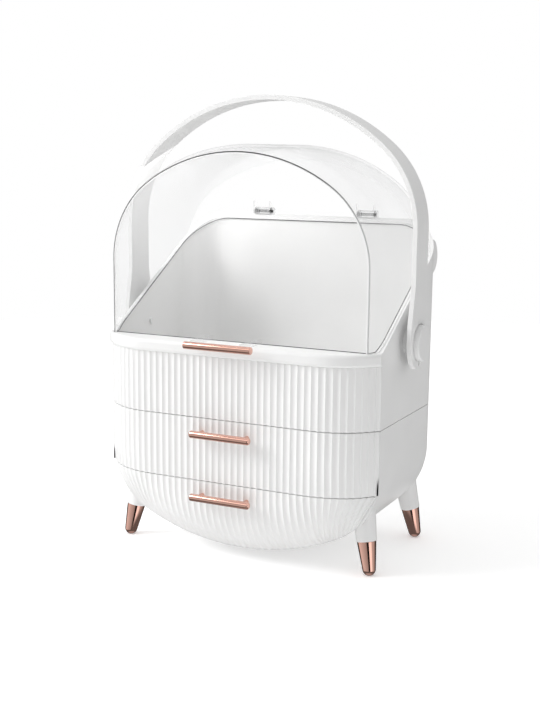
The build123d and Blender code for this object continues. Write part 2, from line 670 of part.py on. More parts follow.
def make_lower_tray():
    """The tray behind the lower front, which follows the belly."""
    outer = cabinet_core(LOW_TRAY_INSET, RIM_Y, SEAM_UPPER_Z) & between_y(-FAR, TRAY_BACK_Y)
    inner = cabinet_core(LOW_TRAY_INSET + TRAY_WALL, RIM_Y, SEAM_UPPER_Z)
    tray = hollow_tray(outer, inner, SHELF_UNDER_Z)
    for seat in boss_seats(LOWER_BOSS_Z, RIM_Y + TRAY_FRONT):
        tray -= screw_hole(seat, (0, -1, 0), TRAY_SCREW)
    return tray


def make_drawer_pull(bar_z):
    """A bar with round ends."""
    reach = PULL_LENGTH / 2 - PULL_R
    bar = rod((-reach, BAR_Y, bar_z), (reach, BAR_Y, bar_z), PULL_R)
    for x in (-reach, reach):
        bar += Pos(x, BAR_Y, bar_z) * Sphere(PULL_R)
    for seat in pull_seats(bar_z):
        bar -= screw_hole(seat, (0, -1, 0), PULL_SCREW)
    return bar


def make_pull_posts(bar_z):
    """The two round posts that stand in flutes of a drawer front and carry its bar."""
    posts = []
    for x, y, z in pull_seats(bar_z):
        post = rod((x, FRONT_Y + RIB_DEPTH, z), (x, BAR_Y, z), PULL_POST_R)
        post -= rod((x - PULL_R, BAR_Y, z), (x + PULL_R, BAR_Y, z), PULL_R)
        posts.append(post - screw_hole((x, y, z), (0, -1, 0), PULL_SCREW))
    return group([post.solids().sort_by(Axis.Y)[-1] for post in posts])


def make_drawer_screws(bar_z, boss_z):
    """The screws of one drawer: two hold its tray and two its pull."""
    tray_screws = [screw(seat, (0, -1, 0), TRAY_SCREW) for seat in boss_seats(boss_z, RIM_Y + TRAY_FRONT)]
    pull_screws = [screw(seat, (0, -1, 0), PULL_SCREW) for seat in pull_seats(bar_z)]
    return group(tray_screws + pull_screws)


# ---------------------------------------------------------------- hood
def hood_form(inset):
    """The hood's outer form moved inwards by inset, before its lower edge is cut."""
    start = HOOD_FRONT_Y - (HOOD_FRONT_ROUND - HOOD_FRONT_RUN)
    block = arch_block(HOOD_HALF - inset, LEDGE_Z + HOOD_STRAIGHT, HOOD_SHOULDER_R - inset,
                       HOOD_TOP_Z - inset, start + inset, HOOD_BACK_Y - inset)
    front = block.edges().filter_by_position(Axis.Y, start, start + inset + NEAR)
    block = fillet([edge for edge in front if edge.center().Z > NEAR], HOOD_FRONT_ROUND - inset)
    back = block.edges().filter_by_position(Axis.Y, HOOD_BACK_Y - inset - NEAR, HOOD_BACK_Y)
    block = fillet([edge for edge in back if edge.center().Z > NEAR], HOOD_BACK_ROUND - inset)
    return block & between_y(HOOD_FRONT_Y + inset, FAR)


def make_lid_hood():
    """The clear hood, whose lower edge follows the cabinet's top edge."""
    return (hood_form(0) - hood_form(HOOD_WALL)) & above_walls(HOOD_GAP)


def make_lid_hinge_arms():
    """Clear arms behind the hood, each with a barrel between its bracket's ears."""
    low, high = BACK_TOP_Z + ARM_LIFT, HINGE_Z + BARREL_R
    flange_back = HOOD_BACK_Y + ARM_FLANGE
    wide = HINGE_SPAN / 2
    arm = box(HINGE_X - wide, HINGE_X + wide, HOOD_BACK_Y, flange_back, low, high)
    for x in (HINGE_X - wide, HINGE_X + wide - ARM_RIB):
        arm += box(x, x + ARM_RIB, HOOD_BACK_Y, flange_back, low, low + ARM_RIB_RISE)
    arm += box(HINGE_X - BARREL_HALF, HINGE_X + BARREL_HALF, HOOD_BACK_Y, HINGE_Y, low, high)
    arm += rod((HINGE_X - BARREL_HALF, HINGE_Y, HINGE_Z), (HINGE_X + BARREL_HALF, HINGE_Y, HINGE_Z), BARREL_R)
    arm -= rod((HINGE_X - wide, HINGE_Y, HINGE_Z), (HINGE_X + wide, HINGE_Y, HINGE_Z), HINGE_PIN_R + HINGE_FIT)
    return group(both_sides(arm))


def make_hinge_brackets():
    """Brackets on the back wall, each with two ears for the hinge pin."""
    wide = HINGE_SPAN / 2
    top = BACK_TOP_Z - BRACKET_DROP
    bracket = box(HINGE_X - wide, HINGE_X + wide, BACK_Y, BACK_Y + BRACKET_PLATE, top - BRACKET_HEIGHT, top)
    for x in (HINGE_X - wide, HINGE_X + wide - EAR_THICK):
        ear = rod((x, HINGE_Y, HINGE_Z), (x + EAR_THICK, HINGE_Y, HINGE_Z), EAR_R)
        ear += box(x, x + EAR_THICK, BACK_Y, HINGE_Y + EAR_R, top - BRACKET_HEIGHT / 2, HINGE_Z)
        bracket += ear
    bracket -= rod((HINGE_X - FAR / 2, HINGE_Y, HINGE_Z), (HINGE_X + FAR / 2, HINGE_Y, HINGE_Z),
                   HINGE_PIN_R + HINGE_FIT)
    bracket -= box(HINGE_X - wide, HINGE_X + wide, BACK_Y - BIN_WALL, BACK_Y, 0, FAR)
    for seat in bracket_seats():
        bracket -= screw_hole(seat, (0, -1, 0), BRACKET_SCREW)
    return group(both_sides(bracket))


def make_hinge_pins():
    """Headed pins through each bracket's ears and the arm between them."""
    wide = HINGE_SPAN / 2
    pin = rod((HINGE_X - wide - PIN_HEAD, HINGE_Y, HINGE_Z), (HINGE_X + wide + PIN_HEAD, HINGE_Y, HINGE_Z),
              HINGE_PIN_R)
    for x in (HINGE_X - wide - PIN_HEAD, HINGE_X + wide):
        pin += rod((x, HINGE_Y, HINGE_Z), (x + PIN_HEAD, HINGE_Y, HINGE_Z), PIN_HEAD_R)
    return group(both_sides(pin))


def make_hinge_screws():
    """The screws that hold the brackets on the back wall."""
    return group([screw(seat, (0, -1, 0), BRACKET_SCREW) for seat in bracket_seats()])


def lid_bar():
    """The round bar on the hood's front, with flat chamfered ends."""
    half = LID_PULL_LENGTH / 2
    bar = rod((-half, LID_PULL_Y, LID_PULL_Z), (half, LID_PULL_Y, LID_PULL_Z), PULL_R)
    ends = [edge for edge in bar.edges() if abs(abs(edge.center().X) - half) < NEAR]
    return chamfer(ends, LID_PULL_CHAMFER)


def make_lid_pull_posts():
    """The clear posts that carry the bar in front of the hood."""
    low = LEDGE_Z + LID_POST_LIFT
    bore = rod((-FAR, LID_PULL_Y, LID_PULL_Z), (FAR, LID_PULL_Y, LID_PULL_Z), PULL_R)
    post = box(LID_POST_X - LID_POST_WIDTH / 2, LID_POST_X + LID_POST_WIDTH / 2,
               LID_PULL_Y, HOOD_FRONT_Y, low, low + LID_POST_HEIGHT)
    return group(both_sides(post - bore))


# ---------------------------------------------------------------- carrying strap
def strap_side_outline():
    """The strap's side view: a narrow band that widens to a round paddle at each pivot."""
    narrow, wide = STRAP_WIDTH / 2, PADDLE_WIDTH / 2
    round_z = PIVOT_Z - PADDLE_BELOW + wide
    edges = [
        Line((-narrow, STRAP_TOP_Z), (-narrow, PIVOT_Z + TAPER_ABOVE)),
        Line((-narrow, PIVOT_Z + TAPER_ABOVE), (-wide, PIVOT_Z + PADDLE_ABOVE)),
        Line((-wide, PIVOT_Z + PADDLE_ABOVE), (-wide, round_z)),
        ThreePointArc((-wide, round_z), (0, round_z - wide), (wide, round_z)),
        Line((wide, round_z), (wide, PIVOT_Z + PADDLE_ABOVE)),
        Line((wide, PIVOT_Z + PADDLE_ABOVE), (narrow, PIVOT_Z + TAPER_ABOVE)),
        Line((narrow, PIVOT_Z + TAPER_ABOVE), (narrow, STRAP_TOP_Z)),
        Line((narrow, STRAP_TOP_Z), (-narrow, STRAP_TOP_Z)),
    ]
    return Plane.YZ * make_face(edges)


def make_strap_handle():
    """The broad band over the hood, with a round recess and a hole at each pivot."""
    y0, y1 = STRAP_Y - PADDLE_WIDTH, STRAP_Y + PADDLE_WIDTH
    straight_z = PIVOT_Z + STRAP_STRAIGHT
    band = arch_block(STRAP_HALF, straight_z, STRAP_SHOULDER_R, STRAP_TOP_Z, y0, y1)
    band -= arch_block(STRAP_INNER, straight_z, STRAP_SHOULDER_R - STRAP_THICK,
                       STRAP_TOP_Z - STRAP_THICK, y0, y1)
    outline = Pos(-FAR, STRAP_Y, 0) * strap_side_outline()
    band &= extrude(outline, amount=2 * FAR, dir=(1, 0, 0))
    recess_x = STRAP_HALF - RECESS_DEPTH
    for side in (-1, 1):
        band -= rod((0, STRAP_Y, PIVOT_Z), (side * FAR, STRAP_Y, PIVOT_Z), PIVOT_R + PIVOT_FIT)
        band -= rod((side * recess_x, STRAP_Y, PIVOT_Z), (side * FAR, STRAP_Y, PIVOT_Z), CAP_R + RECESS_GAP)
        notch_z = PIVOT_Z - NOTCH_DROP
        band -= rod((side * recess_x, STRAP_Y, notch_z), (side * FAR, STRAP_Y, notch_z), NOTCH_R)
    return band


def make_strap_caps():
    """The round caps whose shafts the strap turns on."""
    head_x = STRAP_HALF - RECESS_DEPTH + CAP_FLOOR_GAP
    cap = rod((head_x, STRAP_Y, PIVOT_Z), (CAP_OUTER_X, STRAP_Y, PIVOT_Z), CAP_R)
    rim = [edge for edge in cap.edges() if abs(edge.center().X - CAP_OUTER_X) < NEAR]
    cap = fillet(rim, CAP_EDGE)
    cap += rod((HALF, STRAP_Y, PIVOT_Z), (head_x, STRAP_Y, PIVOT_Z), PIVOT_R)
    cap -= screw_hole((HALF - BIN_WALL, STRAP_Y, PIVOT_Z), (1, 0, 0), PIVOT_SCREW)
    return group(both_sides(cap))


def make_strap_spacers():
    """Rings that keep the strap off the cabinet's sides."""
    outer_x = STRAP_INNER - SPACER_GAP
    ring = rod((HALF, STRAP_Y, PIVOT_Z), (outer_x, STRAP_Y, PIVOT_Z), SPACER_R)
    ring -= rod((0, STRAP_Y, PIVOT_Z), (STRAP_HALF, STRAP_Y, PIVOT_Z), PIVOT_R + PIVOT_FIT)
    return group(both_sides(ring))


def make_strap_screws():
    """The screws from inside the bin into the caps' shafts."""
    return group([screw((side * (HALF - BIN_WALL), STRAP_Y, PIVOT_Z), (side, 0, 0), PIVOT_SCREW)
                  for side in (-1, 1)])


# ---------------------------------------------------------------- everything, by node name
UPPER_BAR_Z = SEAM_UPPER_Z - PULL_DROP
LOWER_BAR_Z = SEAM_LOWER_Z - PULL_DROP
UPPER_BOSS_Z = (SEAM_LOWER_Z + SEAM_UPPER_Z) / 2
LOWER_BOSS_Z = SEAM_LOWER_Z - LOWER_BOSS_DROP
UPPER_Z0 = SEAM_LOWER_Z + SEAM_GAP / 2
UPPER_Z1 = SEAM_UPPER_Z - SEAM_GAP / 2
LOWER_Z1 = SEAM_LOWER_Z - SEAM_GAP / 2

nodes = {
    "lower_housing": make_lower_housing(),
    "upper_bin": make_upper_bin(),
    "rim_trim": make_rim_trim(),
    "divider_shelf": make_divider_shelf(),
    "upper_runners": make_upper_runners(),
    "lower_runners": make_lower_runners(),
    "drawer_stops": make_drawer_stops(),
    "case_screws": make_case_screws(),
    "rear_lugs": make_rear_lugs(),
    "leg_studs": make_leg_studs(),
    "upper_drawer_front": make_drawer_front(UPPER_Z0, UPPER_Z1, UPPER_BAR_Z, UPPER_BOSS_Z),
    "upper_drawer_tray": make_upper_tray(),
    "upper_drawer_pull": make_drawer_pull(UPPER_BAR_Z),
    "upper_pull_posts": make_pull_posts(UPPER_BAR_Z),
    "upper_drawer_screws": make_drawer_screws(UPPER_BAR_Z, UPPER_BOSS_Z),
    "lower_drawer_front": make_drawer_front(0, LOWER_Z1, LOWER_BAR_Z, LOWER_BOSS_Z),
    "lower_drawer_tray": make_lower_tray(),
    "lower_drawer_pull": make_drawer_pull(LOWER_BAR_Z),
    "lower_pull_posts": make_pull_posts(LOWER_BAR_Z),
    "lower_drawer_screws": make_drawer_screws(LOWER_BAR_Z, LOWER_BOSS_Z),
    "lid_hood": make_lid_hood(),
    "lid_hinge_arms": make_lid_hinge_arms(),
    "lid_pull": lid_bar(),
    "lid_pull_posts": make_lid_pull_posts(),
    "hinge_brackets": make_hinge_brackets(),
    "hinge_pins": make_hinge_pins(),
    "hinge_screws": make_hinge_screws(),
    "strap_handle": make_strap_handle(),
    "strap_caps": make_strap_caps(),
    "strap_spacers": make_strap_spacers(),
    "strap_screws": make_strap_screws(),
}
for name, foot in zip(("front_left", "front_right", "rear_left", "rear_right"), feet()):
    nodes["leg_tip_" + name] = make_leg_tip(foot)
    nodes["leg_socket_" + name] = make_leg_socket(foot)

os.makedirs("parts", exist_ok=True)
for name, piece in nodes.items():
    export_step(Pos(0, -ORIGIN_Y, 0) * piece, f"parts/{name}.step")
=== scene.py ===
import math

import bmesh
import bpy
from mathutils import Matrix, Vector


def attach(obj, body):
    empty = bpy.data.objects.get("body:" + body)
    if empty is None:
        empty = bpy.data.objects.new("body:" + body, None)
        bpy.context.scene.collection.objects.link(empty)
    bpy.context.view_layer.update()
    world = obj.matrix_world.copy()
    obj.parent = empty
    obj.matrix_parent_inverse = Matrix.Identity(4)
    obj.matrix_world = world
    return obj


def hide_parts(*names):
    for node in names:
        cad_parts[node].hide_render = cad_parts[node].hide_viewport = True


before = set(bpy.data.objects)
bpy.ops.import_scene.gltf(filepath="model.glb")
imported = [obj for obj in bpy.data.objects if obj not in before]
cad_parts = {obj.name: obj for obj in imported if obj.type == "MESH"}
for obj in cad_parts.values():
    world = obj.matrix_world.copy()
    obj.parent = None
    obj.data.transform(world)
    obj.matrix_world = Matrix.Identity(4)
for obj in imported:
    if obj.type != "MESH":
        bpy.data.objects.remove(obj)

bpy.context.view_layer.update()

# Lengths below are millimetres in the row frame. They become metres where a mesh is made.
MM = 0.001

# ---------------------------------------------------------------- sizes that the CAD model has
HALF = 140.0
FRONT_Y = -92.75
RIM_Y = -63.25
FRONT_ROUND = 66.0
GROWTH = FRONT_ROUND - math.sqrt(FRONT_ROUND ** 2 - (FRONT_ROUND - (RIM_Y - FRONT_Y)) ** 2)
FLAT_HALF = HALF + GROWTH - FRONT_ROUND
ARC_TURN = math.acos((FRONT_ROUND - (RIM_Y - FRONT_Y)) / FRONT_ROUND)
RIBBON_HALF = FLAT_HALF + FRONT_ROUND * ARC_TURN
CORNER_R = 70.0
CORNER_X = HALF - CORNER_R
BELLY_R = 231.0
BELLY_Z = 9.5
BELLY_CENTRE_Z = BELLY_Z + BELLY_R
CORNER_Z = BELLY_CENTRE_Z - math.sqrt((BELLY_R - CORNER_R) ** 2 - CORNER_X ** 2)
SKIN = 4.2
SEAM_GAP = 0.6
SEAM_LOWER_Z = 78.7
SEAM_UPPER_Z = 138.5
RIB_TOP_Z = 196.5
BIN_FLOOR_Z = SEAM_UPPER_Z + SEAM_GAP / 2 + 3.5
CAP_WALL = 2.5
LEDGE_Z = 208.0

RIB_PITCH = 6.6
FLUTE_DEPTH = 1.2
FLUTE_LEAN = 0.0105
ARRIS_SHARE = 0.1           # of half a flute, rounded at each arris
ARRIS_DROP = 0.12
FLUTE_FADE = 6.0            # last stretch before the side walls
RIB_STEPS = 10
EDGE_ROUND = 0.6            # at the seams

BAR_R = 3.5
BAR_Y = -102.25
BAR_LENGTH = 62.0
BAR_POST_X = 3.5 * RIB_PITCH
BAR_POST_R = 2.2
BAR_HEIGHTS = {"upper": 124.8, "lower": 65.0}
LID_BAR_Y = -106.25
LID_BAR_Z = 207.8
LID_BAR_LENGTH = 68.0

FOOT_X = 128.4
FOOT_YS = {"front": -51.35, "rear": 72.85}
FOOT_R = 6.2
FOOT_CENTRE_Z = 5.8
TIP_TOP_R = 9.0
TIP_TOP_Z = 31.0
LEG_LEAN = Vector((5.4, 4.1, 31.0))

POST_SINK = 0.3             # of a pull's post behind the arrises
BAR_END_ROUND = 2.2
LID_BAR_END_ROUND = 0.7

HOOD_HALF = 137.5
HOOD_SPRING_Z = 279.0
HOOD_SHOULDER_R = 95.0
HOOD_TOP_Z = 387.0
HOOD_FRONT_Y = -73.25
HOOD_FRONT_ROUND = 63.5
HOOD_FRONT_RUN = 28.0
HOOD_EDGE_LIFT = 0.4        # of the front edge lines over the ledge
EDGE_R = 0.55
HIGHLIGHT_LINE_R = 0.6
FOOT_LINE_R = 0.38
SIDE_LINE_R = 0.4
CREASE_ANGLE = 50           # degrees, of the hood edges that get a line

WELD = 0.001                # distance at which points of a CAD copy are joined
FLAT_ANGLE = 0.2            # degrees, below which faces of a CAD copy are joined
SMOOTH_ANGLE = 30.0         # degrees, above which an edge of a made piece is sharp
BIN_SMOOTH_ANGLE = 25
STRAP_SMOOTH_ANGLE = 40
STRAP_BEVEL = 0.7
STRAP_BEVEL_ANGLE = 35.0

PLASTIC_IOR = 1.46
ACRYLIC_IOR = 1.49
NOISE_START, NOISE_END = 0.3, 0.7
FLOOR_R = 1.6               # metres
FLOOR_GLOW = 0.27
REFLECTED_STRENGTH = 1.6


# ---------------------------------------------------------------- materials
def new_material(name):
    material = bpy.data.materials.new(name)
    material.use_nodes = True
    return material, material.node_tree, material.node_tree.nodes["Principled BSDF"]


def noise(tree, scale, detail=3.0):
    """Noise in object space: scale is in features per metre."""
    place = tree.nodes.new("ShaderNodeTexCoord")
    texture = tree.nodes.new("ShaderNodeTexNoise")
    texture.inputs["Scale"].default_value = scale
    texture.inputs["Detail"].default_value = detail
    tree.links.new(place.outputs["Object"], texture.inputs["Vector"])
    return texture.outputs["Fac"]


def colour_ramp(tree, source, low, high):
    ramp = tree.nodes.new("ShaderNodeValToRGB")
    ramp.color_ramp.elements[0].position = NOISE_START
    ramp.color_ramp.elements[1].position = NOISE_END
    ramp.color_ramp.elements[0].color = (*low, 1)
    ramp.color_ramp.elements[1].color = (*high, 1)
    tree.links.new(source, ramp.inputs["Fac"])
    return ramp.outputs["Color"]


def value_range(tree, source, low, high):
    span = tree.nodes.new("ShaderNodeMapRange")
    span.inputs["To Min"].default_value = low
    span.inputs["To Max"].default_value = high
    tree.links.new(source, span.inputs["Value"])
    return span.outputs["Result"]


def add_bump(tree, shader, source, strength, distance):
    bump = tree.nodes.new("ShaderNodeBump")
    bump.inputs["Strength"].default_value = strength
    bump.inputs["Distance"].default_value = distance
    tree.links.new(source, bump.inputs["Height"])
    tree.links.new(bump.outputs["Normal"], shader.inputs["Normal"])


def plastic(name, low, high, rough_low, rough_high):
    """Moulded plastic with faint variation of tone and gloss and a fine skin."""
    material, tree, shader = new_material(name)
    tone = colour_ramp(tree, noise(tree, 18.0), low, high)
    tree.links.new(tone, shader.inputs["Base Color"])
    gloss = value_range(tree, noise(tree, 90.0), rough_low, rough_high)
    tree.links.new(gloss, shader.inputs["Roughness"])
    add_bump(tree, shader, noise(tree, 1400.0, 2.0), 0.03, 0.0002)
    shader.inputs["IOR"].default_value = PLASTIC_IOR
    return material


def rose_gold(name):
    """Polished plated metal."""
    material, tree, shader = new_material(name)
    shader.inputs["Metallic"].default_value = 1.0
    tint = colour_ramp(tree, noise(tree, 30.0), (0.74, 0.435, 0.355), (0.78, 0.47, 0.385))
    tree.links.new(tint, shader.inputs["Base Color"])
    gloss = value_range(tree, noise(tree, 160.0), 0.09, 0.11)
    tree.links.new(gloss, shader.inputs["Roughness"])
    add_bump(tree, shader, noise(tree, 300.0, 1.0), 0.004, 0.00002)
    return material


def steel(name):
    material, tree, shader = new_material(name)
    shader.inputs["Metallic"].default_value = 1.0
    tint = colour_ramp(tree, noise(tree, 120.0), (0.50, 0.50, 0.51), (0.62, 0.62, 0.63))
    tree.links.new(tint, shader.inputs["Base Color"])
    gloss = value_range(tree, noise(tree, 900.0), 0.22, 0.38)
    tree.links.new(gloss, shader.inputs["Roughness"])
    add_bump(tree, shader, noise(tree, 2500.0, 2.0), 0.05, 0.0001)
    return material


def clear(name, facing, grazing, tint):
    """Clear sheet: light passes where it is seen square on, and it shows where it turns away."""
    material, tree, shader = new_material(name)
    tree.links.new(colour_ramp(tree, noise(tree, 25.0), [c * 0.985 for c in tint], tint),
                   shader.inputs["Base Color"])
    tree.links.new(value_range(tree, noise(tree, 60.0), 0.03, 0.06), shader.inputs["Roughness"])
    fresnel = tree.nodes.new("ShaderNodeFresnel")
    fresnel.inputs["IOR"].default_value = ACRYLIC_IOR
    span = tree.nodes.new("ShaderNodeMapRange")
    span.inputs["From Min"].default_value = 0.05
    span.inputs["From Max"].default_value = 0.60
    span.inputs["To Min"].default_value = facing
    span.inputs["To Max"].default_value = grazing
    tree.links.new(fresnel.outputs["Fac"], span.inputs["Value"])
    # The sheet casts no shadow and lets soft light through.
    path = tree.nodes.new("ShaderNodeLightPath")
    share = span.outputs["Result"]
    for kind in ("Is Shadow Ray", "Is Diffuse Ray"):
        less = tree.nodes.new("ShaderNodeMath")
        less.operation = "SUBTRACT"
        less.use_clamp = True
        tree.links.new(share, less.inputs[0])
        tree.links.new(path.outputs[kind], less.inputs[1])
        share = less.outputs["Value"]
    tree.links.new(share, shader.inputs["Alpha"])
    shader.inputs["IOR"].default_value = ACRYLIC_IOR
    shader.inputs["Specular IOR Level"].default_value = 0.2
    return material


def painted_reflection_material(name):
    """The cut edge of the clear sheet with a painted reflection: by place along its length, darkest
    just right of the middle and brightest at the right end.
    """
    material, tree, shader = new_material(name)
    place = tree.nodes.new("ShaderNodeTexCoord")
    parts = tree.nodes.new("ShaderNodeSeparateXYZ")
    tree.links.new(place.outputs["Object"], parts.inputs["Vector"])
    span = tree.nodes.new("ShaderNodeMapRange")
    span.inputs["From Min"].default_value = -0.14
    span.inputs["From Max"].default_value = 0.14
    tree.links.new(parts.outputs["X"], span.inputs["Value"])
    ramp = tree.nodes.new("ShaderNodeValToRGB")
    elements = ramp.color_ramp.elements
    # Grey levels of the painted reflection along the edge, from left to right.
    stops = ((0.0, 0.30), (0.25, 0.06), (0.55, 0.03), (0.80, 0.12), (0.93, 0.45), (1.0, 0.62))
    for index, (position, level) in enumerate(stops):
        element = elements[index] if index < 2 else elements.new(position)
        element.position = position
        element.color = (level, level, level * 1.01, 1)
    tree.links.new(span.outputs["Result"], ramp.inputs["Fac"])
    tree.links.new(ramp.outputs["Color"], shader.inputs["Base Color"])
    tree.links.new(value_range(tree, noise(tree, 60.0), 0.10, 0.16), shader.inputs["Roughness"])
    shader.inputs["IOR"].default_value = ACRYLIC_IOR
    return material


SHELL = plastic("shell_plastic", (0.80, 0.80, 0.797), (0.83, 0.83, 0.826), 0.30, 0.38)
INNER = plastic("inner_plastic", (0.79, 0.79, 0.787), (0.82, 0.82, 0.816), 0.42, 0.52)
ROSE = rose_gold("rose_gold_plating")
STEEL = steel("zinc_steel")
CLEAR = clear("clear_acrylic", 0.004, 0.22, (0.86, 0.865, 0.87))
FITTING = clear("clear_fitting", 0.03, 0.30, (0.93, 0.935, 0.94))
# Painted reflection along the hood's front edge.
PAINTED_REFLECTION = painted_reflection_material("clear_edge")
# Near-black line of painted shade at the hood's foot, where the clear sheet meets the walls.
PAINTED_SHADE_LINE = plastic("painted_foot_shade", (0.05, 0.05, 0.052), (0.12, 0.12, 0.122), 0.10, 0.18)
POST = clear("clear_posts", 0.02, 0.22, (0.86, 0.865, 0.87))
# White line that stands for a painted highlight along the clear hood's edges.
PAINTED_HIGHLIGHT = plastic("painted_highlight_line", (0.93, 0.93, 0.93), (0.95, 0.95, 0.95), 0.10, 0.16)

SLOT_MATERIALS = {
    "white_shell": SHELL,
    "white_inner": INNER,
    "rose_gold": ROSE,
    "clear_hood": CLEAR,
    "steel": STEEL,
}


# ---------------------------------------------------------------- mesh helpers
def add_piece(name, verts, faces, material, body, slot, stands_for=()):
    """A mesh object from points in millimetres, smooth but for its sharp edges."""
    mesh = bpy.data.meshes.new(name)
    mesh.from_pydata([tuple(c * MM for c in v) for v in verts], [], faces)
    tidy = bmesh.new()
    tidy.from_mesh(mesh)
    bmesh.ops.remove_doubles(tidy, verts=tidy.verts, dist=0.01 * MM)
    bmesh.ops.dissolve_degenerate(tidy, edges=tidy.edges, dist=0.005 * MM)
    bmesh.ops.recalc_face_normals(tidy, faces=tidy.faces)
    tidy.to_mesh(mesh)
    tidy.free()
    mesh.materials.append(material)
    mesh.shade_smooth()
    mesh.set_sharp_from_angle(angle=math.radians(SMOOTH_ANGLE))
    obj = bpy.data.objects.new(name, mesh)
    bpy.context.scene.collection.objects.link(obj)
    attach(obj, body)
    if stands_for:
        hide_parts(*stands_for)


def lathe(points, start, axis, steps=48):
    """Vertices and faces of a profile of (distance along, radius) turned round an axis."""
    axis = Vector(axis).normalized()
    side = axis.orthogonal().normalized()
    other = axis.cross(side)
    verts, faces = [], []
    for along, radius in points:
        for step in range(steps):
            turn = 2 * math.pi * step / steps
            offset = side * (radius * math.cos(turn)) + other * (radius * math.sin(turn))
            verts.append(Vector(start) + axis * along + offset)
    for row in range(len(points) - 1):
        for step in range(steps):
            following = (step + 1) % steps
            faces.append((row * steps + step, row * steps + following,
                          (row + 1) * steps + following, (row + 1) * steps + step))
    return verts, faces


def merged(parts):
    verts, faces = [], []
    for part_verts, part_faces in parts:
        base = len(verts)
        verts += part_verts
        faces += [tuple(base + i for i in face) for face in part_faces]
    return verts, faces


# ---------------------------------------------------------------- ribbed fronts
def inside_distance(x, z):
    """How far a point of the front view lies inside the cabinet's outline grown by GROWTH."""
    x = abs(x)
    if z > CORNER_Z:
        return HALF + GROWTH - x
    turn = math.atan2(z - CORNER_Z, x - CORNER_X)
    belly_turn = math.atan2(CORNER_Z - BELLY_CENTRE_Z, CORNER_X)
    if x > CORNER_X and turn > belly_turn:
        return CORNER_R + GROWTH - math.hypot(x - CORNER_X, z - CORNER_Z)
    return BELLY_R + GROWTH - math.hypot(x, z - BELLY_CENTRE_Z)


def front_y(x, z, inset):
    """Depth of the swollen front's surface moved inwards by inset, no further back than the rim."""
    inside = inside_distance(x, z) - inset
    radius = FRONT_ROUND - inset
    if inside <= 0:
        return RIM_Y
    if inside >= radius:
        return FRONT_Y + inset
    y = FRONT_Y + FRONT_ROUND - math.sqrt(radius ** 2 - (radius - inside) ** 2)
    return min(y, RIM_Y)


def flute_inset(along):
    """Depth of the rounded flutes at a distance along the front."""
    share = abs((along / RIB_PITCH) % 1.0 - 0.5) * 2
    blunt = max(0.0, share - (1 - ARRIS_SHARE)) / ARRIS_SHARE
    fade = max(0.0, min(1.0, (RIBBON_HALF - abs(along)) / FLUTE_FADE))
    return fade * (FLUTE_DEPTH * (1 - share ** 2) + ARRIS_DROP * blunt ** 2)


def column_x(along, z):
    """Where a rib's column is at a height. Low columns beyond the flat front lean inwards."""
    side = math.copysign(1, along)
    if abs(along) <= FLAT_HALF:
        return along
    turn = (abs(along) - FLAT_HALF) / FRONT_ROUND
    reach = FRONT_ROUND * math.sin(turn)
    lean = FLUTE_LEAN * reach * max(0.0, SEAM_LOWER_Z - z)
    return side * (FLAT_HALF + reach - lean)


def rim_distance(along, z):
    return inside_distance(column_x(along, z), z) - GROWTH


def column_foot(along, top_z):
    """Lowest height of a column before it meets the rim of the lower front."""
    low, high = BELLY_Z - 1, top_z
    if rim_distance(along, high) <= 0:
        return high
    for _ in range(50):
        middle = (low + high) / 2
        if rim_distance(along, middle) > 0:
            high = middle
        else:
            low = middle
    return high


def ribbed_front(z0, z1, floor_z, cap_z, to_rim):
    """A ribbed front as a closed shell. The hollow behind it lies between floor_z and cap_z."""
    reach = RIBBON_HALF
    if to_rim:
        low, high = FLAT_HALF, RIBBON_HALF
        for _ in range(40):
            middle = (low + high) / 2
            if column_foot(middle, z1) < z1 - 0.05:
                low = middle
            else:
                high = middle
        reach = low
    count = int(2 * reach / RIB_PITCH * RIB_STEPS)
    columns = [reach * (2 * i / count - 1) for i in range(count + 1)]
    if to_rim:
        shares = [0.5 - 0.5 * math.cos(math.pi * i / 56) for i in range(57)]
    else:
        shares = [i / 10 for i in range(11)]
    verts, faces = [], []
    outer, inner = [], []
    for along in columns:
        foot = column_foot(along, z1) if to_rim else z0
        heights = [foot + (z1 - foot) * share for share in shares]
        if z1 - foot > 4 * EDGE_ROUND:
            # Close rows carry the rounding. The doubled top row is welded in add_piece.
            heights[-4:] = [z1 - EDGE_ROUND * share for share in (0.5, 0.13, 0.0, 0.0)]
            if not to_rim:
                heights[1:4] = [foot + EDGE_ROUND * share for share in (0.13, 0.5, 1.0)]
        outer_column, inner_column = [], []
        for z in heights:
            x = column_x(along, z)
            edge = z1 - z if to_rim else min(z1 - z, z - foot)
            drop = 1 - min(edge / EDGE_ROUND, 1.0)
            soft = EDGE_ROUND * (1 - math.sqrt(1 - drop ** 2))
            y = front_y(x, z, flute_inset(along) + soft)
            outer_column.append(len(verts))
            verts.append((x, y, z))
            hollow = floor_z <= z <= cap_z
            inner_column.append(len(verts))
            verts.append((x, max(front_y(x, z, SKIN), y) if hollow else RIM_Y, z))
        outer.append(outer_column)
        inner.append(inner_column)
    rows = len(outer[0])
    for i in range(len(columns) - 1):
        for j in range(rows - 1):
            faces.append((outer[i][j], outer[i + 1][j], outer[i + 1][j + 1], outer[i][j + 1]))
            faces.append((inner[i][j], inner[i][j + 1], inner[i + 1][j + 1], inner[i + 1][j]))
        for j in (0, rows - 1):
            faces.append((outer[i][j], outer[i + 1][j], inner[i + 1][j], inner[i][j]))
    for i in (0, len(columns) - 1):
        for j in range(rows - 1):
            faces.append((outer[i][j], outer[i][j + 1], inner[i][j + 1], inner[i][j]))
    return verts, faces


UPPER_Z0, UPPER_Z1 = SEAM_LOWER_Z + SEAM_GAP / 2, SEAM_UPPER_Z - SEAM_GAP / 2
LOWER_Z1 = SEAM_LOWER_Z - SEAM_GAP / 2
BAND_Z0 = SEAM_UPPER_Z + SEAM_GAP / 2

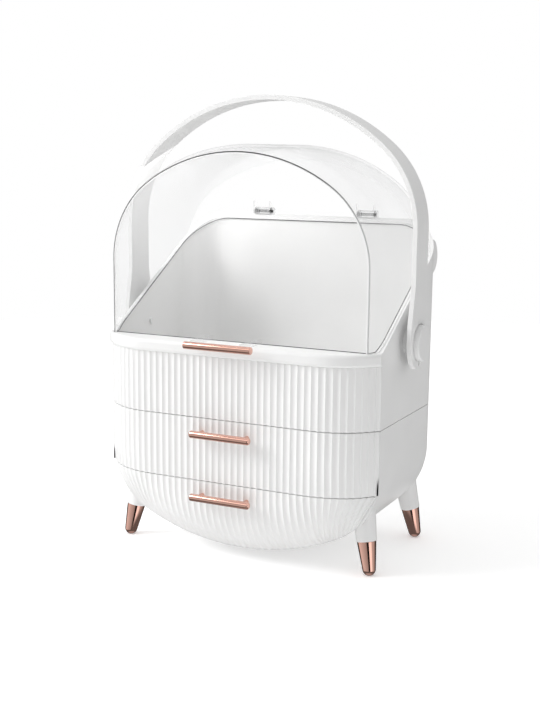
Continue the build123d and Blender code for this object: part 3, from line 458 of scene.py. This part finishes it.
upper_skin = ribbed_front(UPPER_Z0, UPPER_Z1, UPPER_Z0 + CAP_WALL, UPPER_Z1 - CAP_WALL, False)
lower_skin = ribbed_front(BELLY_Z, LOWER_Z1, 0.0, LOWER_Z1 - CAP_WALL, True)
band_skin = ribbed_front(BAND_Z0, RIB_TOP_Z, BIN_FLOOR_Z, RIB_TOP_Z + 1, False)
add_piece("upper_front_skin", *upper_skin, SHELL, "upper_drawer", "white_shell",
          ["upper_drawer_front"])
add_piece("lower_front_skin", *lower_skin, SHELL, "lower_drawer", "white_shell",
          ["lower_drawer_front"])
add_piece("band_skin", *band_skin, SHELL, "cabinet", "white_shell")


# ---------------------------------------------------------------- copies of CAD nodes
def welded_copy(node, name):
    """A copy of a CAD node as a new object, and its joined mesh ready to be edited."""
    obj = bpy.data.objects.new(name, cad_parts[node].data.copy())
    bpy.context.scene.collection.objects.link(obj)
    cut = bmesh.new()
    cut.from_mesh(obj.data)
    bmesh.ops.remove_doubles(cut, verts=cut.verts, dist=WELD * MM)
    bmesh.ops.dissolve_limit(cut, angle_limit=math.radians(FLAT_ANGLE), verts=cut.verts,
                             edges=cut.edges)
    return obj, cut


def finish_copy(cut, obj, sharp, body, node):
    """Writes an edited copy back, smooth but for its sharp edges, with flat faces kept flat."""
    bmesh.ops.recalc_face_normals(cut, faces=cut.faces)
    cut.to_mesh(obj.data)
    cut.free()
    found = obj.data.attributes.get("custom_normal")
    if found:
        obj.data.attributes.remove(found)
    obj.data.materials.clear()
    obj.data.materials.append(SHELL)
    obj.data.shade_smooth()
    obj.data.set_sharp_from_angle(angle=math.radians(sharp))
    weighted = obj.modifiers.new("weighted", "WEIGHTED_NORMAL")
    weighted.keep_sharp = True
    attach(obj, body)
    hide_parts(node)


# The bin behind its ribbed band, which band_skin stands for.
bin_shell, bin_cut = welded_copy("upper_bin", "bin_shell")
everything = bin_cut.verts[:] + bin_cut.edges[:] + bin_cut.faces[:]
bmesh.ops.bisect_plane(bin_cut, geom=everything, dist=1e-7, plane_co=(0, RIM_Y * MM, 0),
                       plane_no=(0, -1, 0), clear_outer=True)
open_edges = [e for e in bin_cut.edges if e.is_boundary]
bmesh.ops.triangle_fill(bin_cut, edges=open_edges, use_beauty=True)
finish_copy(bin_cut, bin_shell, BIN_SMOOTH_ANGLE, "cabinet", "upper_bin")

# The strap with its sharp edges slightly rounded.
strap_band, strap_cut = welded_copy("strap_handle", "strap_band")
strap_edges = [e for e in strap_cut.edges if len(e.link_faces) == 2
               and e.calc_face_angle(0) > math.radians(STRAP_BEVEL_ANGLE)]
bmesh.ops.bevel(strap_cut, geom=strap_edges, offset=STRAP_BEVEL * MM, offset_type="OFFSET",
                segments=3, profile=0.5, affect="EDGES", clamp_overlap=True)
finish_copy(strap_cut, strap_band, STRAP_SMOOTH_ANGLE, "strap", "strap_handle")


# ---------------------------------------------------------------- pulls
def round_bar(length, radius, centre, rounding):
    """A bar along X whose ends are rounded by a radius."""
    half = length / 2
    profile = [(-half, 0.0)]
    for i in range(13):
        turn = math.pi / 2 * i / 12
        profile.append((-half + rounding * (1 - math.cos(turn)),
                        radius - rounding + rounding * math.sin(turn)))
    profile += [(-a, r) for a, r in reversed(profile)]
    return lathe(profile, centre, (1, 0, 0), 56)


for level, bar_z in BAR_HEIGHTS.items():
    add_piece(level + "_bar", *round_bar(BAR_LENGTH, BAR_R, (0, BAR_Y, bar_z), BAR_END_ROUND),
              ROSE, level + "_drawer", "rose_gold", [level + "_drawer_pull"])
    posts = []
    for side in (-1, 1):
        foot_y = FRONT_Y + FLUTE_DEPTH + POST_SINK
        run = foot_y - BAR_Y - BAR_R * 0.6
        posts.append(lathe([(0, 0), (0, BAR_POST_R), (run, BAR_POST_R), (run, 0)],
                           (side * BAR_POST_X, foot_y, bar_z), (0, -1, 0)))
    add_piece(level + "_bar_posts", *merged(posts), ROSE, level + "_drawer", "rose_gold",
              [level + "_pull_posts"])
lid_bar = round_bar(LID_BAR_LENGTH, BAR_R, (0, LID_BAR_Y, LID_BAR_Z), LID_BAR_END_ROUND)
add_piece("lid_bar", *lid_bar, ROSE, "lid", "rose_gold", ["lid_pull"])


# ---------------------------------------------------------------- leg tips
def leg_tip(x, y):
    """A metallic tip, round at the foot, with a fine rounded rim at its top."""
    low = Vector((x, y, FOOT_CENTRE_Z))
    lean = Vector((-math.copysign(LEG_LEAN.x, x), -math.copysign(LEG_LEAN.y, y), LEG_LEAN.z))
    length = (TIP_TOP_Z - FOOT_CENTRE_Z) / lean.z * lean.length
    slope = (TIP_TOP_R - FOOT_R) / length
    tangent = -math.asin(slope)
    profile = []
    for i in range(17):
        turn = -math.pi / 2 + (math.pi / 2 + tangent) * i / 16
        profile.append((FOOT_R * math.sin(turn), FOOT_R * math.cos(turn)))
    profile += [(length - 0.5, TIP_TOP_R - 0.05), (length - 0.15, TIP_TOP_R - 0.1),
                (length, TIP_TOP_R - 0.45), (length, 2.0)]
    verts, faces = lathe(profile, low, lean, 64)
    return [Vector((v[0], v[1], max(v[2], 0.0))) for v in verts], faces


for depth, foot_y in FOOT_YS.items():
    for hand, side in (("left", -1), ("right", 1)):
        corner = depth + "_" + hand
        add_piece("foot_" + corner, *leg_tip(side * FOOT_X, foot_y), ROSE, "cabinet", "rose_gold",
                  ["leg_tip_" + corner])


# ---------------------------------------------------------------- hood edges: painted reflection, highlight and shade lines
def arch_points(inset, low_z):
    """The hood's front-view outline moved inwards, from the left foot to the right."""
    reach = HOOD_HALF - HOOD_SHOULDER_R
    rise = HOOD_TOP_Z - HOOD_SPRING_Z
    crown_r = (reach ** 2 + rise ** 2 - HOOD_SHOULDER_R ** 2) / (2 * (rise - HOOD_SHOULDER_R))
    crown_z = HOOD_TOP_Z - crown_r
    meet = math.atan2(HOOD_SPRING_Z - crown_z, reach)
    points = [(HOOD_HALF - inset, low_z + (HOOD_SPRING_Z - low_z) * i / 8) for i in range(8)]
    for i in range(25):
        turn = meet * i / 24
        radius = HOOD_SHOULDER_R - inset
        points.append((reach + radius * math.cos(turn), HOOD_SPRING_Z + radius * math.sin(turn)))
    for i in range(1, 31):
        turn = meet + (math.pi / 2 - meet) * i / 30
        radius = crown_r - inset
        points.append((radius * math.cos(turn), crown_z + radius * math.sin(turn)))
    left = [(-x, z) for x, z in points]
    return left + list(reversed(points))[1:]


def tube(points, radius, steps=10):
    verts, faces = [], []
    count = len(points)
    for i, point in enumerate(points):
        ahead = Vector(points[min(i + 1, count - 1)]) - Vector(points[max(i - 1, 0)])
        ahead.normalize()
        side = Vector((0, 1, 0))
        other = ahead.cross(side).normalized()
        for step in range(steps):
            turn = 2 * math.pi * step / steps
            offset = side * (radius * math.cos(turn)) + other * (radius * math.sin(turn))
            verts.append(Vector(point) + offset)
    for i in range(count - 1):
        for step in range(steps):
            following = (step + 1) % steps
            faces.append((i * steps + step, i * steps + following,
                          (i + 1) * steps + following, (i + 1) * steps + step))
    faces.append(tuple(range(steps)))
    faces.append(tuple((count - 1) * steps + step for step in reversed(range(steps))))
    return verts, faces


across = math.sqrt(HOOD_FRONT_ROUND ** 2 - HOOD_FRONT_RUN ** 2)
FRONT_INSET = HOOD_FRONT_ROUND - across
EDGE_FOOT_Z = LEDGE_Z + HOOD_EDGE_LIFT
# The front edge line carries a painted reflection, dark to bright along its length.
edge_path = [(x, HOOD_FRONT_Y + EDGE_R, z)
             for x, z in arch_points(FRONT_INSET + EDGE_R, EDGE_FOOT_Z)]
add_piece("hood_front_edge", *tube(edge_path, EDGE_R), PAINTED_REFLECTION, "lid", "clear_hood")
# Inside the front edge runs a painted highlight, a white line along the arch.
highlight_path = [(x, HOOD_FRONT_Y + HIGHLIGHT_LINE_R, z)
            for x, z in arch_points(FRONT_INSET + 2 * EDGE_R + HIGHLIGHT_LINE_R, EDGE_FOOT_Z)]
add_piece("hood_front_highlight", *tube(highlight_path, HIGHLIGHT_LINE_R), PAINTED_HIGHLIGHT, "lid", "clear_hood")


def hood_line(name, points, radius, material, closed=False):
    """A thin round line on the hood through points in millimetres."""
    curve = bpy.data.curves.new(name, "CURVE")
    curve.dimensions = "3D"
    curve.bevel_depth = radius * MM
    curve.bevel_resolution = 2
    spline = curve.splines.new("POLY")
    spline.points.add(len(points) - 1)
    for target, point in zip(spline.points, points):
        target.co = (*(c * MM for c in point), 1)
    spline.use_cyclic_u = closed
    holder = bpy.data.objects.new(name + "_curve", curve)
    bpy.context.scene.collection.objects.link(holder)
    bpy.context.view_layer.update()
    seen_holder = holder.evaluated_get(bpy.context.evaluated_depsgraph_get())
    mesh = bpy.data.meshes.new_from_object(seen_holder)
    bpy.data.objects.remove(holder)
    mesh.materials.clear()
    mesh.materials.append(material)
    mesh.shade_smooth()
    obj = bpy.data.objects.new(name, mesh)
    bpy.context.scene.collection.objects.link(obj)
    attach(obj, "lid")


def sharp_loops(node, least_angle):
    """The sharp edges of a CAD node as chains of points in millimetres, longest first."""
    form = bmesh.new()
    form.from_mesh(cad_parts[node].data)
    bmesh.ops.remove_doubles(form, verts=form.verts, dist=WELD * MM)
    edges = {e for e in form.edges
             if len(e.link_faces) == 2 and e.calc_face_angle(0) > math.radians(least_angle)}
    chains = []
    while edges:
        edge = min(edges, key=lambda e: e.index)
        edges.discard(edge)
        chain = [edge.verts[0], edge.verts[1]]
        grew = True
        while grew:
            grew = False
            for following in chain[-1].link_edges:
                if following in edges:
                    edges.discard(following)
                    chain.append(following.other_vert(chain[-1]))
                    grew = True
                    break
        chains.append([tuple(c / MM for c in v.co) for v in chain])
    form.free()
    return sorted(chains, key=lambda c: -sum(math.dist(a, b) for a, b in zip(c, c[1:])))


# The longest chain is the closed inner edge at the hood's foot, drawn as a near-black line of
# painted shade.
# Of the chains up the slanted sides, the longest on each side is drawn as a white line of painted
# highlight.
hood_loops = sharp_loops("lid_hood", CREASE_ANGLE)
hood_line("hood_foot_line", hood_loops[0][:-1], FOOT_LINE_R, PAINTED_SHADE_LINE, closed=True)
for loop in hood_loops[1:]:
    name = "hood_side_line_left" if loop[-1][0] < 0 else "hood_side_line_right"
    offsets = [abs(p[0]) for p in loop]
    outermost = max(offsets) > HOOD_HALF - 0.1 and min(offsets) > 100
    if outermost and name not in bpy.data.objects:
        hood_line(name, loop, SIDE_LINE_R, PAINTED_HIGHLIGHT)


# ---------------------------------------------------------------- materials of kept CAD nodes
CLEAR_FITTINGS = ("lid_hinge_arms", "lid_pull_posts", "hinge_brackets", "hinge_pins")
for name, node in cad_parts.items():
    slots = [slot.material.name.split(".")[0] if slot.material else ""
             for slot in node.material_slots]
    for index, slot_name in enumerate(slots):
        node.material_slots[index].material = SLOT_MATERIALS.get(slot_name, SHELL)
    if name in CLEAR_FITTINGS:
        node.material_slots[0].material = FITTING
    if name == "lid_pull_posts":
        node.material_slots[0].material = POST
    if name == "strap_screws":
        node.material_slots[0].material = INNER

# ---------------------------------------------------------------- floor, light, camera
disc = bmesh.new()
bmesh.ops.create_circle(disc, cap_ends=True, radius=FLOOR_R, segments=96)
floor_mesh = bpy.data.meshes.new("floor")
disc.to_mesh(floor_mesh)
disc.free()
floor = bpy.data.objects.new("floor", floor_mesh)
bpy.context.scene.collection.objects.link(floor)
floor_material, floor_tree, floor_shader = new_material("floor_white")
floor_tone = colour_ramp(floor_tree, noise(floor_tree, 3.0), (0.93, 0.93, 0.93), (0.94, 0.94, 0.94))
floor_tree.links.new(floor_tone, floor_shader.inputs["Base Color"])
floor_shader.inputs["Roughness"].default_value = 0.9
floor_shader.inputs["Specular IOR Level"].default_value = 0.1
floor_mesh.materials.append(floor_material)
floor.visible_glossy = False
floor_shader.inputs["Emission Color"].default_value = (1.0, 1.0, 1.0, 1)
floor_shader.inputs["Emission Strength"].default_value = FLOOR_GLOW


def area_light(name, place, target, width, height, power):
    light = bpy.data.lights.new(name, "AREA")
    light.shape = "RECTANGLE"
    light.size = width
    light.size_y = height
    light.energy = power
    obj = bpy.data.objects.new(name, light)
    bpy.context.scene.collection.objects.link(obj)
    obj.location = place
    obj.rotation_mode = "QUATERNION"
    obj.rotation_quaternion = (Vector(target) - Vector(place)).to_track_quat("-Z", "Y")
    obj.visible_camera = False
    return obj


TARGET = (0.0, 0.0, 0.2)
area_light("key_left", (-1.65, -1.1, 1.45), TARGET, 1.0, 1.2, 30.0)
area_light("top", (-0.1, -0.1, 1.9), TARGET, 1.6, 1.6, 4.0)
# A weak light over the open bin, which is too dark inside without it.
bin_fill = area_light("bin_fill", (-0.05, -0.02, 0.37), (-0.03, 0.09, 0.2), 0.18, 0.06, 0.10)
bin_fill.visible_glossy = False

world = bpy.data.worlds.new("studio")
bpy.context.scene.world = world
world.use_nodes = True
sky = world.node_tree
sky_links = sky.links


def sky_math(operation, first, second=0.0):
    node = sky.nodes.new("ShaderNodeMath")
    node.operation = operation
    for index, value in enumerate((first, second)):
        if isinstance(value, (int, float)):
            node.inputs[index].default_value = value
        else:
            sky_links.new(value, node.inputs[index])
    return node.outputs["Value"]


def sky_ramp(source, stops):
    """A ramp of grey levels, given as (position, level up to 1)."""
    ramp = sky.nodes.new("ShaderNodeValToRGB")
    elements = ramp.color_ramp.elements
    for index, (position, level) in enumerate(stops):
        element = elements[index] if index < 2 else elements.new(position)
        element.position = position
        element.color = (level, level, level, 1)
    sky_links.new(source, ramp.inputs["Fac"])
    return ramp.outputs["Color"]


def sky_light(source, strength):
    background = sky.nodes.new("ShaderNodeBackground")
    background.inputs["Strength"].default_value = strength
    if source is not None:
        sky_links.new(source, background.inputs["Color"])
    else:
        background.inputs["Color"].default_value = (1, 1, 1, 1)
    return background.outputs["Background"]


def sky_mix(factor, first, second):
    mix = sky.nodes.new("ShaderNodeMixShader")
    sky_links.new(factor, mix.inputs["Fac"])
    sky_links.new(first, mix.inputs[1])
    sky_links.new(second, mix.inputs[2])
    return mix.outputs["Shader"]


# Directions of the room, measured from the one in which the photograph's viewer stands.
VIEWER = (0.4416, -0.8972)
coordinates = sky.nodes.new("ShaderNodeTexCoord")
parts = sky.nodes.new("ShaderNodeSeparateXYZ")
sky_links.new(coordinates.outputs["Generated"], parts.inputs["Vector"])
east, north, height = parts.outputs["X"], parts.outputs["Y"], parts.outputs["Z"]


def level_share(x, y):
    """How much of a direction lies along a level one."""
    return sky_math("ADD", sky_math("MULTIPLY", east, x), sky_math("MULTIPLY", north, y))


toward = level_share(VIEWER[0], VIEWER[1])
rightward = level_share(-VIEWER[1], VIEWER[0])
bearing = sky_math("ARCTAN2", rightward, toward)
turn = sky_math("ADD", sky_math("DIVIDE", bearing, 2 * math.pi), 0.5)
lift = sky_math("ADD", sky_math("DIVIDE", sky_math("ARCSINE", height), math.pi), 0.5)


def at_bearing(degrees):
    return degrees / 360 + 0.5


def at_height(degrees):
    return degrees / 180 + 0.5


# What polished surfaces see: upright lit and unlit panels, a bright ceiling and a dim ground.
panels = sky_ramp(turn, [
    (at_bearing(-180), 0.05), (at_bearing(-122), 0.05), (at_bearing(-108), 0.60),
    (at_bearing(-62), 0.45),
    (at_bearing(-30), 0.34), (at_bearing(-9), 0.24), (at_bearing(-4), 0.01), (at_bearing(18), 0.01),
    (at_bearing(22), 1.0), (at_bearing(48), 0.85), (at_bearing(60), 0.40), (at_bearing(96), 0.30),
    (at_bearing(108), 0.05), (at_bearing(180), 0.05)])
panel_share = sky_ramp(lift, [(at_height(-32), 0.0), (at_height(-24), 1.0), (at_height(6), 1.0),
                              (at_height(16), 0.0)])
ceiling = sky_ramp(lift, [(at_height(-90), 0.32), (at_height(-62), 0.28), (at_height(-53), 0.09),
                          (at_height(-30), 0.10), (at_height(-22), 0.30), (at_height(20), 0.30),
                          (at_height(27), 0.34), (at_height(32), 1.0), (at_height(44), 1.0),
                          (at_height(52), 0.42), (at_height(90), 0.40)])
reflected = sky_mix(panel_share, sky_light(ceiling, REFLECTED_STRENGTH),
                    sky_light(panels, REFLECTED_STRENGTH))

# What matt surfaces are lit by: dimmest from the front right.
DIM_SIDE = (0.70, -0.714)
dimness = level_share(DIM_SIDE[0], DIM_SIDE[1])
side_level = sky_ramp(sky_math("ADD", sky_math("MULTIPLY", dimness, 0.5), 0.5),
                      [(0.0, 0.92), (0.5, 0.75), (1.0, 0.39)])
ambient = sky_light(side_level, 1.0)
path = sky.nodes.new("ShaderNodeLightPath")
room = sky_mix(path.outputs["Is Glossy Ray"], ambient, reflected)
seen = sky_mix(path.outputs["Is Camera Ray"], room, sky_light(None, 1.0))
sky_links.new(seen, sky.nodes["World Output"].inputs["Surface"])

CAMERA_RIGHT = Vector((0.8966014, 0.4427426, 0.0092128))
CAMERA_UP = Vector((-0.0858722, 0.1534159, 0.9844235))
CAMERA_PLACE = Vector((496.13, -1008.17, 380.84)) * MM
camera_data = bpy.data.cameras.new("camera")
camera_data.sensor_fit = "VERTICAL"
camera_data.sensor_height = 36.0
camera_data.sensor_width = 36.0
camera_data.lens = 58.63
camera_data.clip_start = 0.01
camera = bpy.data.objects.new("camera", camera_data)
bpy.context.scene.collection.objects.link(camera)
back = CAMERA_RIGHT.cross(CAMERA_UP).normalized()
up = back.cross(CAMERA_RIGHT).normalized()
turned = Matrix((CAMERA_RIGHT.normalized(), up, back)).transposed()
camera.matrix_world = Matrix.Translation(CAMERA_PLACE) @ turned.to_4x4()
bpy.context.scene.camera = camera
bpy.context.scene.view_settings.view_transform = "Standard"

bpy.context.view_layer.update()
